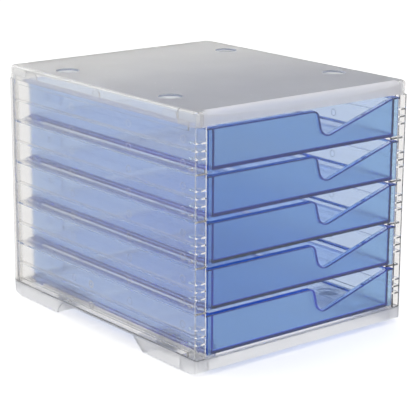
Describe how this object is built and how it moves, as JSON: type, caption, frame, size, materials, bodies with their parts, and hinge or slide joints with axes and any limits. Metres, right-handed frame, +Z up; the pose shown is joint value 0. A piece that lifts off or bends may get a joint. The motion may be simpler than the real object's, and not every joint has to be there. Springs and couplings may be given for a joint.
{
  "type": "desktop drawer box",
  "caption": "Free-standing desktop box of clear plastic with open-topped tinted drawers for loose sheets, each with a slanted finger dip in its front, on an arched base.",
  "frame": {"origin": "on the table, under the middle of the box", "axes": "+Z up, +X to the right when facing the drawers, the drawers open toward -Y"},
  "size_m": [0.284, 0.338, 0.268],
  "materials": {
    "clear_housing": "clear, glossy, faintly rippled",
    "frosted_cover": "clear, fine matt texture on top, glossy corners and sides",
    "blue_drawer": "translucent blue, glossy",
    "foot_rubber": "pale grey, matt"
  },
  "bodies": {
    "housing": {"top_cover": "frosted_cover", "base": "clear_housing", "left_side_panel": "clear_housing", "right_side_panel": "clear_housing", "back_panel": "clear_housing", "front_left_foot": "foot_rubber", "front_right_foot": "foot_rubber", "rear_left_foot": "foot_rubber", "rear_right_foot": "foot_rubber"},
    "drawer_1_body": {"drawer_1": "blue_drawer"},
    "drawer_2_body": {"drawer_2": "blue_drawer"},
    "drawer_3_body": {"drawer_3": "blue_drawer"},
    "drawer_4_body": {"drawer_4": "blue_drawer"},
    "drawer_5_body": {"drawer_5": "blue_drawer"}
  },
  "joints": [
    {"name": "drawer_1_slide", "type": "slide", "parent": "housing", "child": "drawer_1_body", "axis": [0, -1, 0], "range_m": [0, 0.27]},
    {"name": "drawer_2_slide", "type": "slide", "parent": "housing", "child": "drawer_2_body", "axis": [0, -1, 0], "range_m": [0, 0.27]},
    {"name": "drawer_3_slide", "type": "slide", "parent": "housing", "child": "drawer_3_body", "axis": [0, -1, 0], "range_m": [0, 0.27]},
    {"name": "drawer_4_slide", "type": "slide", "parent": "housing", "child": "drawer_4_body", "axis": [0, -1, 0], "range_m": [0, 0.27]},
    {"name": "drawer_5_slide", "type": "slide", "parent": "housing", "child": "drawer_5_body", "axis": [0, -1, 0], "range_m": [0, 0.27]}
  ]
}
